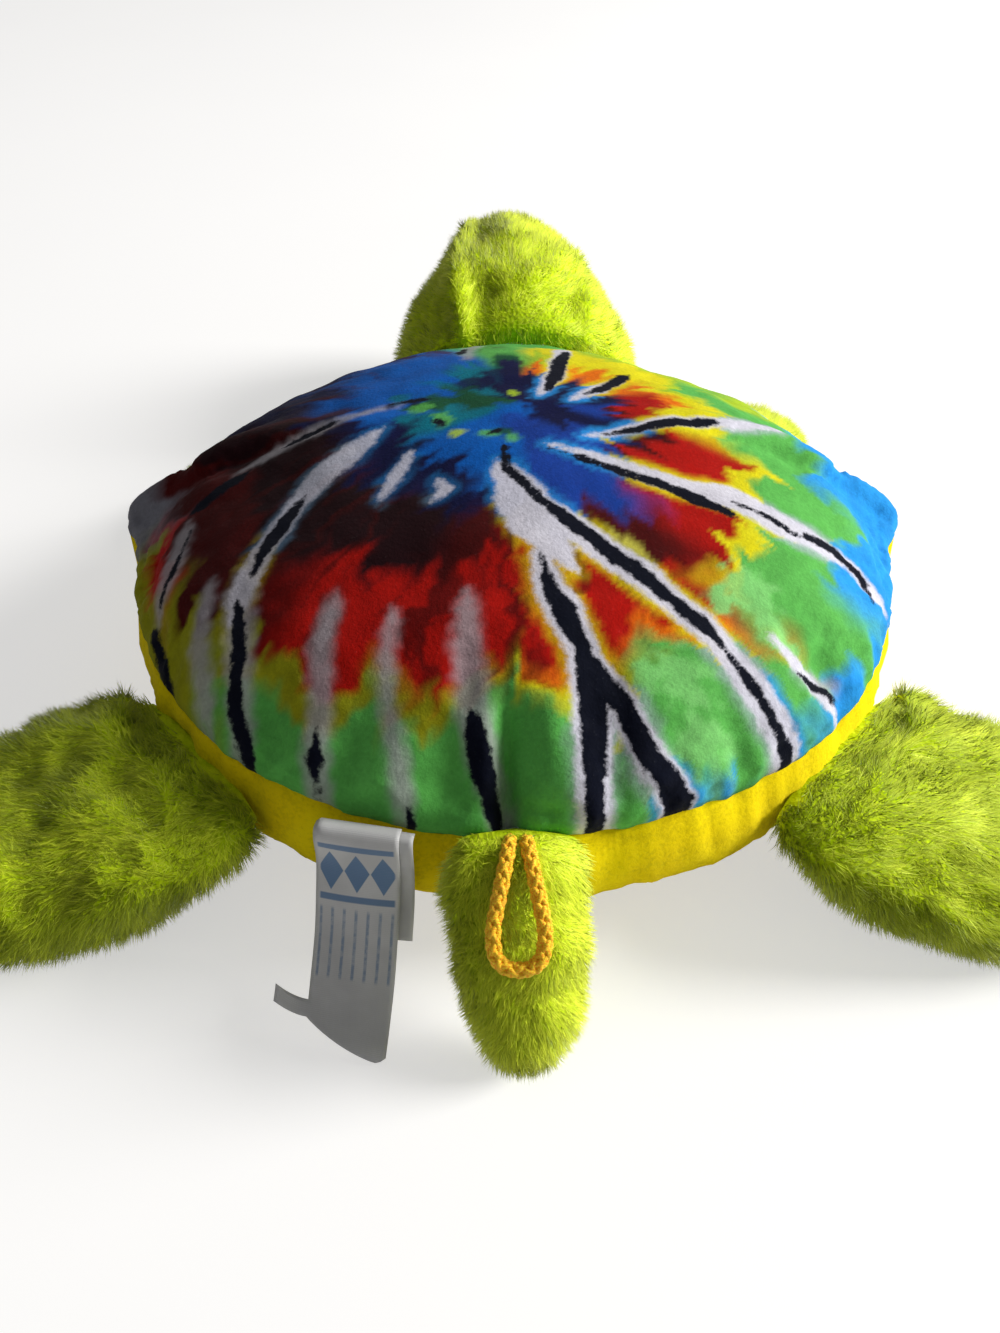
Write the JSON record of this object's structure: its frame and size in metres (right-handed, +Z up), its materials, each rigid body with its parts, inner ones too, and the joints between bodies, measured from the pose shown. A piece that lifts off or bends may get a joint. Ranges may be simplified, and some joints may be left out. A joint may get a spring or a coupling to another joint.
{
  "type": "plush turtle",
  "caption": "Stuffed sea turtle with a printed cloth shell, plain belly, furry head, flippers and tail that flap at their sewn seams, a cord hanging loop and two sewn-in labels.",
  "frame": {"origin": "on the floor, in the middle of the flat patch that the belly rests on, under the middle of the shell", "axes": "+Z up, +Y towards the head, +X to the turtle's right"},
  "size_m": [0.3238, 0.3792, 0.084],
  "materials": {
    "printed_cloth": "short-pile velour with a tie-dye print",
    "belly_cloth": "short-pile velour, plain yellow",
    "fur": "lime green plush with a 3 mm pile",
    "stuffing": "loose polyester fibre",
    "eye_plastic": "polished",
    "washer_plastic": "moulded",
    "cord": "braided cord",
    "label": "woven satin ribbon"
  },
  "bodies": {
    "body": {"shell_cover": "printed_cloth", "belly_cover": "belly_cloth", "body_stuffing": "stuffing"},
    "head": {"head_cover": "fur", "head_stuffing": "stuffing", "eye_left": "eye_plastic", "eye_right": "eye_plastic", "eye_washer_left": "washer_plastic", "eye_washer_right": "washer_plastic"},
    "front_left_flipper": {"front_left_flipper_cover": "fur", "front_left_flipper_stuffing": "stuffing"},
    "front_right_flipper": {"front_right_flipper_cover": "fur", "front_right_flipper_stuffing": "stuffing"},
    "rear_left_flipper": {"rear_left_flipper_cover": "fur", "rear_left_flipper_stuffing": "stuffing"},
    "rear_right_flipper": {"rear_right_flipper_cover": "fur", "rear_right_flipper_stuffing": "stuffing"},
    "tail": {"tail_cover": "fur", "tail_stuffing": "stuffing"},
    "loop": {"hang_loop": "cord"},
    "labels": {"care_label": "label", "short_label": "label"}
  },
  "joints": [
    {"name": "head_nod", "type": "hinge", "parent": "body", "child": "head", "pos_m": [0.00282, 0.1077, 0.031], "axis": [0.9985, 0.0541, 0], "range_deg": [-12, 12], "stiffness_Nm_per_rad": 0.3},
    {"name": "front_left_flap", "type": "hinge", "parent": "body", "child": "front_left_flipper", "pos_m": [-0.07508, 0.0676, 0.031], "axis": [0.7075, 0.7067, 0], "range_deg": [-20, 30], "stiffness_Nm_per_rad": 0.02},
    {"name": "front_right_flap", "type": "hinge", "parent": "body", "child": "front_right_flipper", "pos_m": [0.07508, 0.0676, 0.031], "axis": [0.7075, -0.7067, 0], "range_deg": [-20, 30], "stiffness_Nm_per_rad": 0.02},
    {"name": "rear_left_flap", "type": "hinge", "parent": "body", "child": "rear_left_flipper", "pos_m": [-0.08142, -0.09203, 0.029], "axis": [-0.6471, 0.7624, 0], "range_deg": [-20, 30], "stiffness_Nm_per_rad": 0.04},
    {"name": "rear_right_flap", "type": "hinge", "parent": "body", "child": "rear_right_flipper", "pos_m": [0.08142, -0.09203, 0.029], "axis": [-0.6471, -0.7624, 0], "range_deg": [-20, 30], "stiffness_Nm_per_rad": 0.04},
    {"name": "tail_lift", "type": "hinge", "parent": "body", "child": "tail", "pos_m": [0, -0.1305, 0.041], "axis": [-1, 0, 0], "range_deg": [-15, 25], "stiffness_Nm_per_rad": 0.008},
    {"name": "loop_swing", "type": "hinge", "parent": "tail", "child": "loop", "pos_m": [0, -0.134, 0.0463], "axis": [-1, 0, 0], "range_deg": [0, 85]},
    {"name": "label_flap", "type": "hinge", "parent": "body", "child": "labels", "pos_m": [-0.0363, -0.12778, 0.0417], "axis": [-0.9853, 0.1709, 0], "range_deg": [0, 100]}
  ]
}
